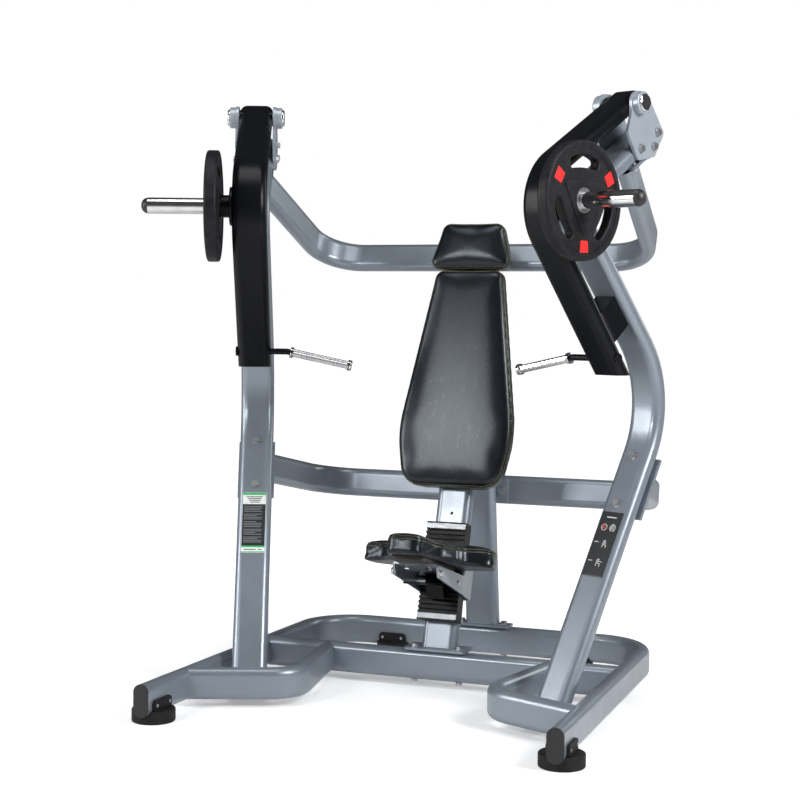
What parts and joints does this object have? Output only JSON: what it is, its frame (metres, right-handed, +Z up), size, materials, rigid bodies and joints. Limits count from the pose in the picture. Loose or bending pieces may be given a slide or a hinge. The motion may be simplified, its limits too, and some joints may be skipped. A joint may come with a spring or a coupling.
{
  "type": "chest press machine",
  "caption": "Plate-loaded converging chest press: splayed uprights carry swinging arms with weight plates, a reclined back pad and a height-adjustable seat.",
  "frame": {"origin": "on the floor, under the centre of the machine's bounding box", "axes": "+Z up, the user faces -Y, +X to the viewer's right seen from the front"},
  "size_m": [1.6, 1.3666, 1.9108],
  "materials": {
    "upholstery": "black grained vinyl leather with a soft sheen",
    "black_paint": "satin black powder coat",
    "silver_paint": "blue-grey metallic powder coat, satin",
    "chrome": "polished chrome",
    "black_plastic": "black moulded plastic",
    "plate_rubber": "matt black rubber coating with red patches",
    "insert_steel": "turned steel",
    "rubber": "black rubber",
    "fastener_steel": "zinc plated steel",
    "rack_metal": "black ribbed rack with bare metal end blocks",
    "board": "dark painted plywood",
    "placard_green": "printed plastic sticker without words",
    "placard_black": "printed plastic sticker without words"
  },
  "bodies": {
    "frame": {"arm_axles": "fastener_steel", "axle_caps": "chrome", "back_pad": "upholstery", "base_bolts": "fastener_steel", "base_cross_tube": "silver_paint", "base_frame_tube": "silver_paint", "column_bracket": "silver_paint", "crossbar_flanges": "silver_paint", "foot_screws": "fastener_steel", "frame_bolts": "fastener_steel", "front_loop_left": "silver_paint", "front_loop_right": "silver_paint", "headrest_pad": "upholstery", "lower_crossbar": "silver_paint", "pad_boards": "board", "pad_brackets": "silver_paint", "pivot_bosses": "silver_paint", "pivot_brackets": "silver_paint", "placard_left": "placard_green", "placard_right": "placard_black", "post_flanges": "silver_paint", "rear_column": "silver_paint", "rubber_feet": "rubber", "seat_post": "silver_paint", "seat_rack": "rack_metal", "stop_blocks": "black_paint", "stop_bumpers": "rubber", "top_crossbar": "silver_paint", "tube_end_caps": "black_plastic", "upright_foot_plates": "silver_paint", "upright_left": "silver_paint", "upright_right": "silver_paint"},
    "seat": {"seat_carriage": "silver_paint", "carriage_liners": "black_plastic", "seat_board": "board", "seat_pad": "upholstery", "seat_screws": "fastener_steel", "latch_pin": "fastener_steel", "latch_spring": "fastener_steel"},
    "latch": {"latch_lever": "black_paint"},
    "arm_left": {"arm_tube_left": "black_paint", "arm_bearings_left": "fastener_steel", "weight_sleeve_left": "chrome", "sleeve_collar_left": "black_paint", "sleeve_cap_left": "black_plastic", "handle_bar_left": "black_paint", "arm_cap_left": "black_plastic"},
    "plate_left": {"weight_plate_left": "plate_rubber", "plate_insert_left": "insert_steel"},
    "handgrip_left": {"grip_left": "chrome"},
    "arm_right": {"arm_tube_right": "black_paint", "arm_bearings_right": "fastener_steel", "weight_sleeve_right": "chrome", "sleeve_collar_right": "black_paint", "sleeve_cap_right": "black_plastic", "handle_bar_right": "black_paint", "arm_cap_right": "black_plastic"},
    "plate_right": {"weight_plate_right": "plate_rubber", "plate_insert_right": "insert_steel"},
    "handgrip_right": {"grip_right": "chrome"}
  },
  "joints": [
    {"name": "arm_press_left", "type": "hinge", "parent": "frame", "child": "arm_left", "pos_m": [-0.6155, 0.0335, 1.868], "axis": [-0.9198, -0.3923, 0], "range_deg": [0, 45]},
    {"name": "plate_load_left", "type": "slide", "parent": "arm_left", "child": "plate_left", "axis": [-0.9198, -0.3923, 0], "range_m": [0, 0.18]},
    {"name": "grip_turn_left", "type": "hinge", "parent": "arm_left", "child": "handgrip_left", "pos_m": [-0.48572, 0.00409, 1.1], "axis": [0.9195, 0.3334, -0.2083], "continuous": true},
    {"name": "arm_press_right", "type": "hinge", "parent": "frame", "child": "arm_right", "pos_m": [0.6155, 0.0335, 1.868], "axis": [-0.9198, 0.3923, 0], "range_deg": [0, 45]},
    {"name": "plate_load_right", "type": "slide", "parent": "arm_right", "child": "plate_right", "axis": [0.9198, -0.3923, 0], "range_m": [0, 0.18]},
    {"name": "grip_turn_right", "type": "hinge", "parent": "arm_right", "child": "handgrip_right", "pos_m": [0.48572, 0.00409, 1.1], "axis": [-0.9195, 0.3334, -0.2083], "continuous": true},
    {"name": "seat_height", "type": "slide", "parent": "frame", "child": "seat", "axis": [0, 0.2924, 0.9563], "range_m": [-0.02, 0.16]},
    {"name": "seat_latch", "type": "hinge", "parent": "seat", "child": "latch", "pos_m": [0, 0.126, 0.354], "axis": [-1, 0, 0], "range_deg": [0, 9], "stiffness_Nm_per_rad": 4, "springref_deg": -20.05}
  ]
}
